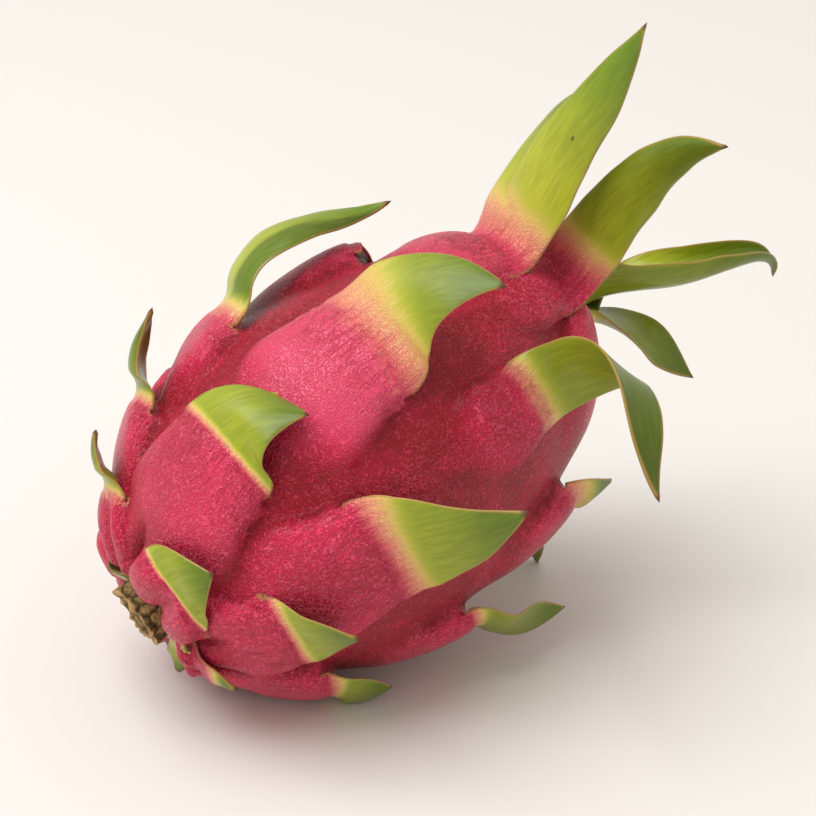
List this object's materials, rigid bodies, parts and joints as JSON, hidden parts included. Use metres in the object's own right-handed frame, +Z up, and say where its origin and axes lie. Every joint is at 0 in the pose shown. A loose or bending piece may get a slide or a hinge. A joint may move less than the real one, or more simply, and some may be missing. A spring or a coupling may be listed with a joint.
{
  "type": "dragon fruit",
  "caption": "Ripe dragon fruit lying on its side, pink rind with green-tipped scales, a crown of long scales and a cut woody stem stub.",
  "frame": {"origin": "bottom centre of the bounding box, on the surface that the fruit lies on", "axes": "+Z up; +X horizontally towards the crown end, which is lifted 24 degrees from the stem end; +Y completes the frame, so -Y is the fruit's front"},
  "size_m": [0.1666, 0.116, 0.1387],
  "materials": {
    "rind": "fresh waxy fruit rind, satin",
    "dry_stem": "dry, corky, matte"
  },
  "bodies": {
    "root": {"fruit": "rind", "stem_stub": "dry_stem"}
  },
  "joints": []
}
